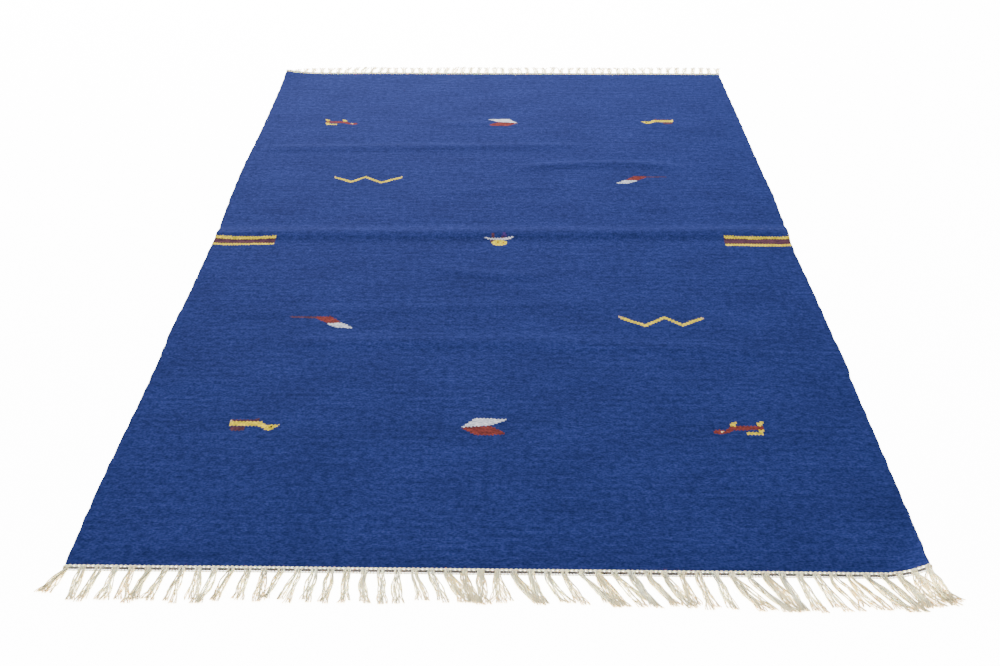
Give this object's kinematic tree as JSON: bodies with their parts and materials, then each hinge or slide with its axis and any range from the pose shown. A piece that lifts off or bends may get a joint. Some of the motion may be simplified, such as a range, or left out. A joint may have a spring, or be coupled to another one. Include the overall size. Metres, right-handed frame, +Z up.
{
  "type": "kilim rug",
  "caption": "Flat-woven wool kilim rug with small woven figures, lying flat with soft storage creases, lifted corners and a knotted cotton fringe at each short end.",
  "frame": {"origin": "on the floor under the middle of the rug, fringes included", "axes": "+Y along the rug from the near short end to the far one, +X to the right across it, +Z up from the floor"},
  "size_m": [1.4764, 2.1654, 0.022],
  "materials": {
    "blue_wool": "weft-faced flat weave of blue wool, with figures and side stripes in yellow, red, maroon and off-white wool",
    "white_cotton": "undyed cotton cord and warp ends, knotted"
  },
  "bodies": {
    "root": {"cloth": "blue_wool", "fringe_near": "white_cotton", "fringe_far": "white_cotton"}
  },
  "joints": []
}
